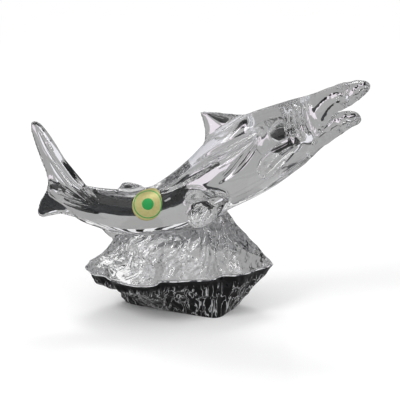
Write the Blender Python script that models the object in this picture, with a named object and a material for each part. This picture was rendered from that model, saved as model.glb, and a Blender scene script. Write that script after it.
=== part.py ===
"""Crystal shark figurine: a clear casting of a leaping shark on a chipped rock, standing on a black
crystal foot, with a round foil seal on its near flank.

Metres, +Z up, +X towards the nose, the near flank towards -Y. The origin is on the foot's underside.
Outlines are written in millimetres. Heights of the casting are measured from its own flat underside.
"""

import math

import bmesh
import bpy
import numpy as np
from mathutils import Vector
from mathutils.bvhtree import BVHTree

MM = 0.001

# Black foot under the casting
FOOT_HEIGHT = 25.0 * MM
SEAM_GAP = 0.3 * MM
LIP_BULGE = 0.15
LIP_LEVEL = 0.76
LIP_SPREAD = 0.15

# Chipped rock of the casting
TAIL_END_SLOPE = 1.6
NOSE_END_SLOPE = 1.15
SIDE_SLOPE = 1.05
CREST_HALF_WIDTH = 5.5 * MM
CREST_SINK = 5.0 * MM

# Chips on the rock and the foot: how far they stand out, their size in millimetres across, through and up,
# how they lean and how strong they are at the tail end and at the nose end, how they wave, and the parts of
# the height that they fade over
ROCK_CHIP = 2.2 * MM
FOOT_CHIP = 2.0 * MM
CHIP_SIZE = (4.2, 6.0, 11.0)
CHIP_MEAN = 0.3
CHIP_LEAN = (0.8, -0.3)
LEAN_CHANGE = (0.0, 16.0)
CHIP_STRENGTH = (1.0, 0.45)
STRENGTH_CHANGE = (10.0, 30.0)
CHIP_WAVE = 1.4
CHIP_WAVE_LENGTH = 19.0
RIM_FADE = 0.09
CREST_FADE = 0.3
ROCK_SEED = 5
FOOT_SEED = 21

# Shark
BODY_FULLNESS = 1.0
FIN_FULLNESS = 1.0
TAIL_CROWN = 1.3
TAIL_RIDGE = 0.36
EYE_RADIUS = 2.1 * MM
EYE_PROUD = 0.8 * MM
GROOVE_DEPTH = 1.0 * MM
GROOVE_WIDTH = 2.0 * MM
GILL_DEPTH = 1.1 * MM
GILL_WIDTH = 1.8 * MM
GILL_LENGTH = 16.0 * MM
GILL_PITCH = 3.2 * MM
GILL_RAKE = 0.35
GILL_COUNT = 5

# Foil seal
SEAL_RADIUS = 9.3 * MM
SEAL_THICKNESS = 0.4 * MM
SEAL_GAP = 0.3 * MM
SEAL_X = -28.9 * MM
SEAL_TILT = math.radians(31)

# Further out than any part of the casting
SIDE_ON = 60.0 * MM

# How finely the shapes are divided
BODY_RINGS = 45
BODY_SEGMENTS = 24
ROCK_SEGMENTS = 112
ROCK_RINGS = 11
FOOT_RINGS = 8
SEAL_RINGS = 4
SEAL_SEGMENTS = 36

# Body stations from the tail stock to the nose: back (x, z), belly (x, z), half width
BODY_STATIONS = [
    ((-84.1, 51.0), (-84.1, 43.2), 2.6),
    ((-75.1, 49.5), (-76.8, 36.4), 4.0),
    ((-65.0, 48.3), (-68.4, 28.3), 5.6),
    ((-56.1, 46.8), (-60.0, 24.5), 7.0),
    ((-46.5, 45.9), (-49.3, 20.9), 8.2),
    ((-37.6, 45.9), (-38.7, 19.4), 9.2),
    ((-28.0, 47.4), (-26.9, 19.7), 10.2),
    ((-20.2, 51.9), (-14.0, 21.5), 11.3),
    ((-12.3, 58.2), (-2.2, 24.5), 12.4),
    ((-5.0, 65.0), (7.3, 29.5), 13.3),
    ((2.2, 72.8), (16.8, 34.9), 14.0),
    ((10.1, 80.5), (25.8, 39.4), 14.5),
    ((19.1, 86.5), (34.8, 44.1), 14.7),
    ((29.1, 91.3), (43.2, 49.5), 14.5),
    ((40.4, 95.1), (52.1, 56.4), 13.8),
    ((50.4, 98.4), (60.5, 63.5), 12.7),
    ((57.5, 100.3), (65.5, 72.0), 11.7),
    ((63.5, 102.2), (69.5, 81.0), 10.6),
    ((69.5, 104.6), (75.0, 88.4), 9.3),
    ((75.5, 107.0), (80.0, 92.0), 8.0),
    ((81.3, 109.0), (84.6, 95.4), 6.6),
    ((87.4, 110.8), (89.4, 100.3), 5.2),
    ((91.8, 110.8), (92.9, 103.9), 3.4),
    ((94.3, 109.0), (94.5, 106.8), 1.2),
]

# Lower jaw stations, from inside the throat to its tip
JAW_STATIONS = [
    ((55.0, 80.0), (62.2, 65.4), 11.0),
    ((62.0, 86.0), (67.8, 71.2), 10.2),
    ((69.5, 89.5), (73.8, 75.7), 8.8),
    ((76.5, 92.4), (79.8, 80.0), 7.2),
    ((82.6, 93.6), (84.6, 82.9), 5.4),
    ((87.4, 91.8), (88.2, 84.9), 3.6),
    ((89.9, 89.2), (90.1, 87.4), 1.4),
]

# Slit between the jaws, as (x, z) round its outline, and how far it reaches to each side
MOUTH_SLIT = [
    (69.0, 86.6), (75.6, 90.5), (82.6, 93.5), (95.0, 91.0), (95.0, 99.0), (82.6, 94.6), (75.6, 91.7),
]

# Fins: front edge (x, y, z), rear edge (x, y, z), thickness, from root to tip
TAIL_FIN = [
    ((-92.0, 0, 87.0), (-94.0, 0, 85.8), 1.8),
    ((-88.6, 0, 85.0), (-94.5, 0, 82.0), 3.6),
    ((-84.6, 0, 80.0), (-93.0, 0, 76.6), 5.6),
    ((-80.0, 0, 72.5), (-90.9, 0, 69.4), 7.2),
    ((-75.2, 0, 64.0), (-88.6, 0, 62.4), 8.4),
    ((-69.2, 0, 55.9), (-86.4, 0, 56.4), 9.0),
    ((-63.0, 0, 47.0), (-85.5, 0, 50.0), 8.6),
    ((-62.0, 0, 37.0), (-86.8, 0, 44.6), 7.0),
    ((-68.0, 0, 29.8), (-89.4, 0, 40.0), 6.2),
    ((-76.5, 0, 31.6), (-91.0, 0, 35.4), 5.2),
    ((-82.5, 0, 30.8), (-91.4, 0, 32.4), 4.0),
    ((-88.0, 0, 29.2), (-90.4, 0, 29.8), 2.2),
]
DORSAL_FIN = [
    ((31.0, 0, 85.0), (-1.0, 0, 63.0), 9.0),
    ((30.0, 0, 90.6), (1.4, 0, 72.0), 7.0),
    ((23.0, 0, 90.4), (2.6, 0, 78.0), 5.4),
    ((15.0, 0, 90.9), (1.9, 0, 83.6), 4.2),
    ((8.0, 0, 91.7), (0.8, 0, 88.4), 3.0),
    ((1.6, 0, 92.0), (-0.2, 0, 91.2), 1.6),
]
SECOND_DORSAL_FIN = [
    ((-25.0, 0, 43.0), (-49.5, 0, 42.0), 6.0),
    ((-31.5, 0, 47.8), (-46.0, 0, 46.6), 4.6),
    ((-35.5, 0, 49.4), (-43.8, 0, 49.6), 3.2),
    ((-40.8, 0, 50.3), (-42.6, 0, 50.3), 1.6),
]
ANAL_FIN = [
    ((-38.0, 0, 24.0), (-58.0, 0, 27.0), 6.0),
    ((-42.5, 0, 18.6), (-54.0, 0, 20.6), 4.6),
    ((-45.6, 0, 16.2), (-50.4, 0, 17.4), 3.2),
    ((-47.0, 0, 15.1), (-48.4, 0, 15.5), 1.6),
]
PECTORAL_FIN = [
    ((58.0, -6.0, 79.0), (50.0, -6.0, 81.0), 6.6),
    ((55.5, -13.5, 75.5), (46.0, -13.0, 77.6), 6.0),
    ((50.5, -17.5, 71.0), (38.5, -17.0, 75.0), 5.2),
    ((45.0, -21.0, 66.0), (33.0, -20.5, 71.0), 4.4),
    ((40.5, -23.5, 62.2), (31.0, -23.0, 66.6), 3.6),
    ((36.5, -24.8, 60.0), (32.0, -24.4, 62.4), 2.0),
]
PELVIC_FIN = [
    ((15.0, -6.0, 50.0), (-5.0, -6.0, 41.5), 7.0),
    ((14.5, -12.5, 44.6), (-7.0, -12.5, 36.2), 6.4),
    ((12.0, -16.5, 38.8), (-7.0, -16.5, 31.8), 5.4),
    ((7.0, -18.6, 33.8), (-4.0, -18.6, 30.0), 3.8),
    ((2.4, -19.2, 31.4), (-1.0, -19.2, 30.4), 2.0),
]

# Plan of the rock where it meets the foot, and of the foot's flat underside, as (x, y)
SEAM_PLAN = [
    (-64.9, 0.0), (-62.8, -8.0), (-59.2, -13.6), (-54.0, -15.4), (-50.5, -21.0), (-45.4, -25.4),
    (-39.6, -29.4), (-32.0, -31.6), (-25.0, -29.6), (-21.6, -24.2), (-14.0, -24.2), (-5.6, -22.8),
    (3.4, -22.6), (8.6, -19.6), (12.7, -14.9), (21.3, -14.4), (27.7, -10.6), (32.6, -5.6),
    (38.6, -1.0), (41.5, 4.0), (36.0, 12.0), (27.0, 16.6), (16.0, 19.6), (8.6, 25.4),
    (-5.0, 27.2), (-14.0, 25.2), (-23.0, 28.4), (-35.0, 26.0), (-44.0, 19.6), (-53.0, 14.0),
    (-60.6, 7.6),
]
FOOT_PLAN = [
    (-42.5, 9.0), (-38.5, 5.0), (-33.5, 2.2), (-28.0, 0.0), (-20.7, -4.3), (-14.0, -7.2),
    (-7.6, -9.8), (1.7, -13.9), (8.0, -15.8), (12.0, -13.8), (15.8, -7.6), (20.6, 2.4),
    (14.0, 11.0), (0.0, 16.0), (-18.0, 17.5), (-31.0, 16.5), (-40.0, 13.0),
]
CREST_ENDS = (-45.0, 13.0)

# Carved lines as (x, z) from end to end: fan on the tail, strokes along the flank
TAIL_FAN = [
    ((-54.5, 33.5), (-83.0, 72.0)),
    ((-56.0, 33.0), (-81.0, 58.5)),
    ((-57.5, 32.5), (-81.0, 49.0)),
    ((-58.5, 32.0), (-80.5, 42.0)),
    ((-59.5, 31.5), (-79.5, 36.6)),
]
FLANK_STROKES = [
    ((32.0, 80.5), (-8.0, 52.5)),
    ((31.0, 78.5), (0.0, 52.0)),
    ((31.5, 76.5), (11.0, 53.0)),
]
GILLS_FROM = (48.0, 93.6)
BODY_PITCH = math.radians(31)
EYE_AT = (78.5, 101.5)


def material(name, colour, roughness, metallic=0.0, transmission=0.0):
    """A Principled BSDF with the part's own colour, gloss and clearness."""
    made = bpy.data.materials.new(name)
    made.use_nodes = True
    shader = made.node_tree.nodes["Principled BSDF"]
    shader.inputs["Base Color"].default_value = (*colour, 1.0)
    shader.inputs["Roughness"].default_value = roughness
    shader.inputs["Metallic"].default_value = metallic
    shader.inputs["Transmission Weight"].default_value = transmission
    return made


def curve_through(points, count, closed=False):
    """count points evenly spread in index along a Catmull-Rom curve through the given points."""
    points = np.array(points, float)
    spans = len(points) if closed else len(points) - 1
    t = np.linspace(0, spans, count, endpoint=not closed)
    i = np.minimum(t.astype(int), spans - 1)
    f = (t - i)[:, None]
    if closed:
        a, b, c, d = (points[(i + k) % len(points)] for k in (-1, 0, 1, 2))
    else:
        a, b, c, d = (points[np.clip(i + k, 0, spans)] for k in (-1, 0, 1, 2))
    return b + 0.5 * f * (c - a + f * (2 * a - 5 * b + 4 * c - d + f * (3 * (b - c) + d - a)))


def loft(name, rings):
    """A closed solid through rings of points, all of one length, with both ends capped."""
    mesh = bmesh.new()
    loops = [[mesh.verts.new(p) for p in ring] for ring in rings]
    for near, far in zip(loops, loops[1:]):
        for k in range(len(near)):
            following = (k + 1) % len(near)
            mesh.faces.new((near[k], near[following], far[following], far[k]))
    mesh.faces.new(loops[0][::-1])
    mesh.faces.new(loops[-1])
    bmesh.ops.triangulate(mesh, faces=[f for f in mesh.faces if len(f.verts) > 4])
    bmesh.ops.recalc_face_normals(mesh, faces=mesh.faces)
    data = bpy.data.meshes.new(name)
    mesh.to_mesh(data)
    mesh.free()
    made = bpy.data.objects.new(name, data)
    bpy.context.scene.collection.objects.link(made)
    return made


def casting_height():
    """How high the casting's flat underside stands above the table."""
    return FOOT_HEIGHT + SEAM_GAP


def body_rings(stations, count, segments):
    """Elliptic rings, each standing between a back point and a belly point."""
    flat = [(*back, *belly, half) for back, belly, half in stations]
    smooth = curve_through(flat, count) * MM
    turn = np.linspace(0, 2 * math.pi, segments, endpoint=False)
    rings = []
    for back_x, back_z, belly_x, belly_z, half in smooth:
        up_x = (back_x - belly_x) / 2
        up_z = (back_z - belly_z) / 2
        x = (back_x + belly_x) / 2 + up_x * np.cos(turn)
        z = (back_z + belly_z) / 2 + up_z * np.cos(turn) + casting_height()
        rings.append(np.stack([x, half * BODY_FULLNESS * np.sin(turn), z], axis=1))
    return rings


def fin_rings(stations, side=-1, crown=2.0, ridge=0.5, segments=12):
    """Blade sections between a front edge and a rear edge; side mirrors the fin in Y.

    A section is a superellipse whose power is crown, 2 for an ellipse. It is thickest at the share of the
    chord, from the front, that ridge gives.
    """
    flat = [(*front, *rear, thick) for front, rear, thick in stations]
    smooth = curve_through(flat, 2 * len(stations) - 1) * MM
    mirror = np.array([1, -side, 1])
    fronts = smooth[:, 0:3] * mirror
    rears = smooth[:, 3:6] * mirror
    middles = (fronts + rears) / 2
    spans = np.gradient(middles, axis=0)
    turn = np.linspace(0, 2 * math.pi, segments, endpoint=False)
    along, aside = (np.sign(w) * np.abs(w) ** (2 / crown) for w in (np.cos(turn), np.sin(turn)))
    along = 1 - 2 * ((1 - along) / 2) ** (math.log(ridge) / math.log(0.5))
    rings = []
    for front, rear, middle, span, thick in zip(fronts, rears, middles, spans, smooth[:, 6]):
        chord = (front - rear) / 2
        normal = np.cross(chord, span)
        normal /= np.linalg.norm(normal)
        across = normal * thick / 2 * FIN_FULLNESS
        ring = middle + np.outer(along, chord) + np.outer(aside, across)
        rings.append(ring + np.array([0, 0, casting_height()]))
    return rings


def belly_height(x):
    """Height of the belly line above the casting's underside at x, in metres."""
    belly = np.array([station[1] for station in BODY_STATIONS]) * MM
    return np.interp(x, belly[:, 0], belly[:, 1])


def chips(points, rise, seed):
    """Tongues with crisp edges: the squared distance to the nearest of jittered points, one in each cell.

    The cells stand upright, wave from side to side and lean with height, the other way where rise is -1.
    """
    x, y, z = np.moveaxis(points / MM, -1, 0)
    wave = CHIP_WAVE * np.sin(2 * math.pi * (z + x / 2) / CHIP_WAVE_LENGTH)
    lean = rise * np.interp(x, LEAN_CHANGE, CHIP_LEAN)
    cells = np.stack([x - lean * z + wave, y, z], axis=-1) / CHIP_SIZE
    jitter = np.random.default_rng(seed).random((32, 32, 32, 3))
    home = np.floor(cells).astype(int)
    nearest = np.full(x.shape, np.inf)
    for step in np.ndindex(3, 3, 3):
        cell = home + step - 1
        off = cell + jitter[tuple(np.moveaxis(cell % 32, -1, 0))] - cells
        nearest = np.minimum(nearest, (off**2).sum(axis=-1))
    return nearest


def chipped(rings, level, depth, rise, seed):
    """Rings moved out, square to their own surface, by chips that fade towards both ends of the rings."""
    along = np.roll(rings, -1, axis=1) - np.roll(rings, 1, axis=1)
    square = np.cross(along, np.gradient(rings, axis=0))
    square /= np.linalg.norm(square, axis=-1, keepdims=True)
    fade = np.clip(np.minimum(level / RIM_FADE, (1 - level) / CREST_FADE), 0, 1)
    strength = np.interp(rings[..., 0] / MM, STRENGTH_CHANGE, CHIP_STRENGTH)
    relief = depth * (chips(rings, rise, seed) - CHIP_MEAN) * fade * strength
    return rings + square * relief[..., None]


def seam_loop():
    """Plan of the rock at the seam, in metres."""
    return curve_through(SEAM_PLAN, ROCK_SEGMENTS, closed=True) * MM


def rock_rings():
    """Rings from the rock's underside up and in to a crest that lies inside the belly."""
    rim = seam_loop()
    first, last = (x * MM for x in CREST_ENDS)
    middle = (first + last) / 2
    angle = np.arctan2(rim[:, 1] / 0.45, rim[:, 0] - middle)
    crest_x = middle + (last - first) / 2 * np.cos(angle)
    crest = np.stack([crest_x, CREST_HALF_WIDTH * np.sin(angle)], axis=1)
    crest_z = belly_height(crest_x) + CREST_SINK
    end_slope = np.where(np.cos(angle) < 0, TAIL_END_SLOPE, NOSE_END_SLOPE)
    slope = SIDE_SLOPE + (end_slope - SIDE_SLOPE) * np.cos(angle) ** 2
    level = np.linspace(0, 1, ROCK_RINGS)[:, None]
    inward = 1 - (1 - level) ** slope
    plan = rim + (crest - rim) * inward[..., None]
    height = crest_z * level + casting_height()
    rings = np.concatenate([plan, height[..., None]], axis=-1)
    return chipped(rings, level, ROCK_CHIP, 1, ROCK_SEED)


def foot_rings():
    """Rings from the foot's flat underside out and up to the seam."""
    rim = seam_loop()
    under = curve_through(FOOT_PLAN, ROCK_SEGMENTS * 4, closed=True) * MM
    centre = under.mean(axis=0)
    bearing = np.arctan2(*(under - centre).T[::-1])
    reach = np.linalg.norm(under - centre, axis=1)
    order = np.argsort(bearing)
    angle = np.arctan2(*(rim - centre).T[::-1])
    radius = np.interp(angle, bearing[order], reach[order], period=2 * math.pi)
    base = centre + radius[:, None] * np.stack([np.cos(angle), np.sin(angle)], axis=1)
    leftness = np.interp(rim[:, 0], (rim[:, 0].min(), rim[:, 0].max()), (1, 0.2))
    level = np.linspace(0, 1, FOOT_RINGS)[:, None]
    lip = LIP_BULGE * np.exp(-(((level - LIP_LEVEL) / LIP_SPREAD) ** 2)) * (1 - level) * 4
    spread = np.clip(level + lip * leftness, 0, 1)
    plan = base + (rim - base) * spread[..., None]
    height = np.broadcast_to(FOOT_HEIGHT * level, plan.shape[:2])
    rings = np.concatenate([plan, height[..., None]], axis=-1)
    return chipped(rings, level, FOOT_CHIP, -1, FOOT_SEED)


def flank_table():
    """Back points, belly points and half widths of many stations along the body, in metres."""
    flat = [(*back, *belly, half) for back, belly, half in BODY_STATIONS]
    smooth = curve_through(flat, 12 * len(flat)) * MM
    return smooth[:, 0:2], smooth[:, 2:4], smooth[:, 4] * BODY_FULLNESS


FLANK = flank_table()


def flank_half_width(x, z):
    """Half width of the smooth body at (x, z), both from the casting's underside, or 0 outside it."""
    back, belly, half = FLANK
    up = back - belly
    at = np.array([x, z])
    aside = up[:, 0] * (at[1] - belly[:, 1]) - up[:, 1] * (at[0] - belly[:, 0])
    nearest = np.argmin(np.abs(aside) / np.linalg.norm(up, axis=1) ** 2)
    level = (at - belly[nearest]) @ up[nearest] / (up[nearest] @ up[nearest])
    return half[nearest] * math.sqrt(max(0.0, 1 - (2 * level - 1) ** 2))


def skin_depth(tree, x, z, side):
    """How far the casting's skin stands from the middle plane at (x, z), or 0 where it has none."""
    start = Vector((x, side * SIDE_ON, z + casting_height()))
    hit = tree.ray_cast(start, Vector((0, -side, 0)))[0]
    return abs(hit.y) if hit else 0.0


def spindle(tree, start, end, width, depth, side, sides=6):
    """A cutter that is widest halfway along a carved line and runs out to a point at both ends."""
    along = (end - start) / np.linalg.norm(end - start)
    square = np.array([-along[1], along[0]])
    turn = np.linspace(0, 2 * math.pi, sides, endpoint=False)
    rings = []
    for t in np.linspace(0, 1, 9):
        x, z = start + (end - start) * t
        swell = max(0.04, math.sin(math.pi * t) ** 0.7)
        y = side * (skin_depth(tree, x, z, side) + depth * (1 - swell))
        across = width / 2 * swell * np.cos(turn)
        down = depth * swell * np.sin(turn)
        ring = [
            (x + square[0] * a, y + side * d, z + square[1] * a + casting_height())
            for a, d in zip(across, down)
        ]
        rings.append(ring)
    return rings


def combine(body, other, operation):
    """Adds other to body, or cuts it away, and hides it."""
    step = body.modifiers.new(other.name, "BOOLEAN")
    step.operation = operation
    step.solver = "EXACT"
    step.object = other
    other.hide_render = True
    other.display_type = "WIRE"


def carve(body):
    """Cuts the tail fan, the flank strokes and the gills into both sides."""
    bpy.context.view_layer.update()
    tree = BVHTree.FromObject(body, bpy.context.evaluated_depsgraph_get())
    pitch = np.array([math.cos(BODY_PITCH), math.sin(BODY_PITCH)])
    square = np.array([-pitch[1], pitch[0]])
    lines = [(a, b, GROOVE_WIDTH, GROOVE_DEPTH) for a, b in TAIL_FAN + FLANK_STROKES]
    for k in range(GILL_COUNT):
        top = np.array(GILLS_FROM) + pitch * GILL_PITCH / MM * k
        bottom = top - (square + GILL_RAKE * pitch) * GILL_LENGTH / MM
        lines.append((top, bottom, GILL_WIDTH, GILL_DEPTH))
    for number, (a, b, width, depth) in enumerate(lines):
        for side, word in ((-1, "near"), (1, "far")):
            rings = spindle(tree, np.array(a) * MM, np.array(b) * MM, width, depth, side)
            tool = loft(f"{word}_groove_cutter_{number}", rings)
            combine(body, tool, "DIFFERENCE")


def mouth_cutter():
    """A wedge that opens the jaws from the mouth's corner to beyond the nose."""
    rings = []
    for y in (-SIDE_ON, SIDE_ON):
        rings.append([(x * MM, y, z * MM + casting_height()) for x, z in MOUTH_SLIT])
    return loft("mouth_cutter", rings)


def eye(side, word):
    """A low dome on the head."""
    x, z = (value * MM for value in EYE_AT)
    y = side * (flank_half_width(x, z) + EYE_PROUD - EYE_RADIUS)
    mesh = bmesh.new()
    bmesh.ops.create_uvsphere(mesh, u_segments=12, v_segments=8, radius=EYE_RADIUS)
    data = bpy.data.meshes.new(f"{word}_eye")
    mesh.to_mesh(data)
    mesh.free()
    made = bpy.data.objects.new(f"{word}_eye", data)
    bpy.context.scene.collection.objects.link(made)
    made.location = (x, y, z + casting_height())
    return made


def crystal_shark():
    """Body, jaw, fins, eyes and rock, fused into one clear casting and carved."""
    body = loft("crystal_shark", body_rings(BODY_STATIONS, BODY_RINGS, BODY_SEGMENTS))
    parts = [
        loft("rock_form", rock_rings()),
        loft("jaw_form", body_rings(JAW_STATIONS, 13, 14)),
        loft("tail_fin_form", fin_rings(TAIL_FIN, crown=TAIL_CROWN, ridge=TAIL_RIDGE)),
        loft("dorsal_fin_form", fin_rings(DORSAL_FIN)),
        loft("second_dorsal_fin_form", fin_rings(SECOND_DORSAL_FIN)),
        loft("anal_fin_form", fin_rings(ANAL_FIN)),
    ]
    for side, word in ((-1, "near"), (1, "far")):
        parts.append(loft(f"{word}_pectoral_fin_form", fin_rings(PECTORAL_FIN, side)))
        parts.append(loft(f"{word}_pelvic_fin_form", fin_rings(PELVIC_FIN, side)))
        parts.append(eye(side, word))
    for part in parts:
        combine(body, part, "UNION")
    combine(body, mouth_cutter(), "DIFFERENCE")
    carve(body)
    return body


def rock_foot():
    """The black lower part of the rock, undercut down to a flat underside."""
    return loft("rock_foot", foot_rings())


def flank_point(along, around, lift):
    """The point lift outside the near flank, that far along and around the body from the seal's middle."""
    back, belly, half = FLANK
    middle = (back + belly) / 2
    up = (back - belly) / 2
    travelled = np.append(0, np.cumsum(np.linalg.norm(np.diff(middle, axis=0), axis=1)))
    at = np.interp(SEAL_X, middle[:, 0], travelled) + along
    middle_x, middle_z, up_x, up_z, width = (
        np.interp(at, travelled, values) for values in (*middle.T, *up.T, half)
    )
    height = math.hypot(up_x, up_z)
    angles = np.linspace(-math.pi / 2, math.pi / 2, 361)
    steps = np.hypot(np.diff(width * np.cos(angles)), np.diff(height * np.sin(angles)))
    arc = np.append(0, np.cumsum(steps))
    angle = np.interp(np.interp(SEAL_TILT, angles, arc) + around, arc, angles)
    out_y = math.cos(angle) / width
    out_up = math.sin(angle) / height
    size = math.hypot(out_y, out_up)
    rise = math.sin(angle) + lift * out_up / size / height
    y = -width * math.cos(angle) - lift * out_y / size
    return np.array([middle_x + up_x * rise, y, middle_z + up_z * rise + casting_height()])


def foil_seal():
    """A thin disc that follows the near flank, a small gap outside it."""
    turn = np.linspace(0, 2 * math.pi, SEAL_SEGMENTS, endpoint=False)
    mesh = bmesh.new()
    sheets = []
    for lift in (SEAL_GAP, SEAL_GAP + SEAL_THICKNESS):
        loops = []
        for share in np.linspace(0, 1, SEAL_RINGS):
            loop = []
            for angle in turn if share else turn[:1]:
                reach = SEAL_RADIUS * share
                at = flank_point(reach * math.cos(angle), reach * math.sin(angle), lift)
                loop.append(mesh.verts.new(at))
            loops.append(loop)
        sheets.append(loops)
    for loops in sheets:
        for k in range(SEAL_SEGMENTS):
            following = (k + 1) % SEAL_SEGMENTS
            mesh.faces.new((loops[0][0], loops[1][k], loops[1][following]))
            for inner, outer in zip(loops[1:], loops[2:]):
                mesh.faces.new((inner[k], outer[k], outer[following], inner[following]))
    inside, outside = sheets[0][-1], sheets[1][-1]
    for k in range(SEAL_SEGMENTS):
        following = (k + 1) % SEAL_SEGMENTS
        mesh.faces.new((inside[k], inside[following], outside[following], outside[k]))
    bmesh.ops.recalc_face_normals(mesh, faces=mesh.faces)
    data = bpy.data.meshes.new("foil_seal")
    mesh.to_mesh(data)
    mesh.free()
    made = bpy.data.objects.new("foil_seal", data)
    bpy.context.scene.collection.objects.link(made)
    return made


def main():
    for old in list(bpy.data.objects):
        bpy.data.objects.remove(old)
    crystal = material("clear_crystal", (0.95, 0.96, 0.97), 0.02, transmission=1.0)
    black = material("black_crystal", (0.01, 0.01, 0.012), 0.05)
    foil = material("gold_foil", (0.72, 0.68, 0.32), 0.3, metallic=0.8)
    for made, finish in ((crystal_shark(), crystal), (rock_foot(), black), (foil_seal(), foil)):
        made.data.materials.append(finish)
        made.data.shade_smooth()
        made.data.set_sharp_from_angle(angle=math.radians(40))


main()
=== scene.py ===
"""Looks of the crystal shark figurine: a clear lead crystal casting, its black crystal foot and a foil seal.

Outlines and hollows are written in millimetres, with x towards the nose, y away from the viewer and heights
measured from the casting's own flat underside. The surroundings are written in metres, with heights from the
table. Each piece is worked out with numpy as a grid of points.
"""

import math

import bpy
import numpy as np
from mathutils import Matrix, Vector


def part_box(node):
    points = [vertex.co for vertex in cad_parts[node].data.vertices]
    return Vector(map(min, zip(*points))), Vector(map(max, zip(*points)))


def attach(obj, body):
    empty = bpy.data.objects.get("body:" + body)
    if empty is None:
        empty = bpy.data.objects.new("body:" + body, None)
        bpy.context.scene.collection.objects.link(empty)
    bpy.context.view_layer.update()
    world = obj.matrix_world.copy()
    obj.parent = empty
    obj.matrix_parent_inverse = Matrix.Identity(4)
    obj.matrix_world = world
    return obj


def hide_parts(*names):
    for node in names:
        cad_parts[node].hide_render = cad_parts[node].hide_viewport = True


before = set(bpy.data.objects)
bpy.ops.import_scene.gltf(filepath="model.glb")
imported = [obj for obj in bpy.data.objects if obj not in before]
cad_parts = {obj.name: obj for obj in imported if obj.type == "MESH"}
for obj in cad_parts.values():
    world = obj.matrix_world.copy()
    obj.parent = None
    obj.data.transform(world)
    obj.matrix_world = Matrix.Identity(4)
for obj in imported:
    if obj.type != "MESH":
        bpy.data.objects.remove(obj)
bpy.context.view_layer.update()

MM = 0.001
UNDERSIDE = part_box("crystal_shark")[0][2]
FOOT_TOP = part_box("rock_foot")[1][2]

# Fusing and polishing of the casting, and how near its flat underside its points are pressed level
VOXEL = 0.67 * MM
POLISH_PASSES = 5
FIRE_POLISH_PASSES = 3
POLISH_FACTOR = 0.5
LEVEL_WITHIN = 0.35 * MM

# Body stations from the tail stock to the nose: back (x, z), belly (x, z), half width
BODY_STATIONS = [
    ((-84.1, 51.0), (-84.1, 43.2), 2.6),
    ((-75.1, 49.5), (-76.8, 36.4), 4.0),
    ((-65.0, 48.3), (-68.4, 28.3), 5.6),
    ((-56.1, 46.8), (-60.0, 24.5), 7.0),
    ((-46.5, 45.9), (-49.3, 20.9), 8.2),
    ((-37.6, 45.9), (-38.7, 19.4), 9.2),
    ((-28.0, 47.4), (-26.9, 19.7), 10.2),
    ((-20.2, 51.9), (-14.0, 21.5), 11.3),
    ((-12.3, 58.2), (-2.2, 24.5), 12.4),
    ((-5.0, 65.0), (7.3, 29.5), 13.3),
    ((2.2, 72.8), (16.8, 34.9), 14.0),
    ((10.1, 80.5), (25.8, 39.4), 14.5),
    ((19.1, 86.5), (34.8, 44.1), 14.7),
    ((29.1, 91.3), (43.2, 49.5), 14.5),
    ((40.4, 95.1), (52.1, 56.4), 13.8),
    ((50.4, 98.4), (60.5, 63.5), 12.7),
    ((57.5, 100.3), (65.5, 72.0), 11.7),
    ((63.5, 102.2), (69.5, 82.0), 10.6),
    ((69.5, 104.6), (75.4, 91.4), 9.3),
    ((75.5, 107.0), (80.5, 94.2), 8.0),
    ((81.3, 108.6), (84.8, 96.4), 6.6),
    ((87.4, 109.8), (89.4, 100.2), 5.2),
    ((91.6, 109.6), (92.9, 103.4), 3.4),
    ((93.8, 107.8), (94.0, 106.0), 1.2),
]

# Lower jaw stations, from inside the throat to its tip
JAW_STATIONS = [
    ((55.0, 80.0), (62.2, 65.4), 11.0),
    ((62.0, 85.0), (67.8, 71.2), 10.2),
    ((68.8, 87.2), (73.8, 75.7), 8.8),
    ((75.6, 90.6), (79.8, 80.0), 7.2),
    ((82.4, 92.2), (84.6, 82.9), 5.4),
    ((86.8, 91.2), (88.0, 84.9), 3.6),
    ((89.2, 88.8), (89.6, 86.6), 1.4),
]

# Fins: front edge (x, y, z), rear edge (x, y, z), thickness, from root to tip
TAIL_FIN = [
    ((-92.0, 0, 86.6), (-94.0, 0, 85.6), 1.8),
    ((-88.6, 0, 85.0), (-94.3, 0, 82.0), 3.6),
    ((-84.6, 0, 80.0), (-93.0, 0, 76.6), 5.6),
    ((-80.0, 0, 72.5), (-90.9, 0, 69.4), 7.2),
    ((-75.2, 0, 64.0), (-88.6, 0, 62.4), 8.4),
    ((-69.2, 0, 55.9), (-86.4, 0, 56.4), 9.0),
    ((-63.0, 0, 47.0), (-85.5, 0, 50.0), 8.6),
    ((-62.0, 0, 37.0), (-86.8, 0, 44.6), 7.0),
    ((-68.0, 0, 29.8), (-89.4, 0, 40.0), 6.2),
    ((-76.5, 0, 31.6), (-91.0, 0, 35.4), 5.2),
    ((-82.5, 0, 30.8), (-91.4, 0, 32.4), 4.0),
    ((-88.0, 0, 29.4), (-90.4, 0, 30.0), 2.2),
]
DORSAL_FIN = [
    ((31.0, 0, 85.0), (-1.0, 0, 63.0), 9.0),
    ((30.0, 0, 90.6), (1.4, 0, 72.0), 7.0),
    ((23.0, 0, 90.4), (2.6, 0, 78.0), 5.4),
    ((15.0, 0, 90.9), (1.9, 0, 83.6), 4.2),
    ((8.0, 0, 91.7), (0.8, 0, 88.4), 3.0),
    ((1.6, 0, 92.0), (-0.2, 0, 91.2), 1.6),
]
SECOND_DORSAL_FIN = [
    ((-25.0, 0, 43.0), (-49.5, 0, 42.0), 6.0),
    ((-31.5, 0, 47.8), (-46.0, 0, 46.6), 4.6),
    ((-35.5, 0, 49.4), (-43.8, 0, 49.6), 3.2),
    ((-40.8, 0, 50.3), (-42.6, 0, 50.3), 1.6),
]
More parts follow.
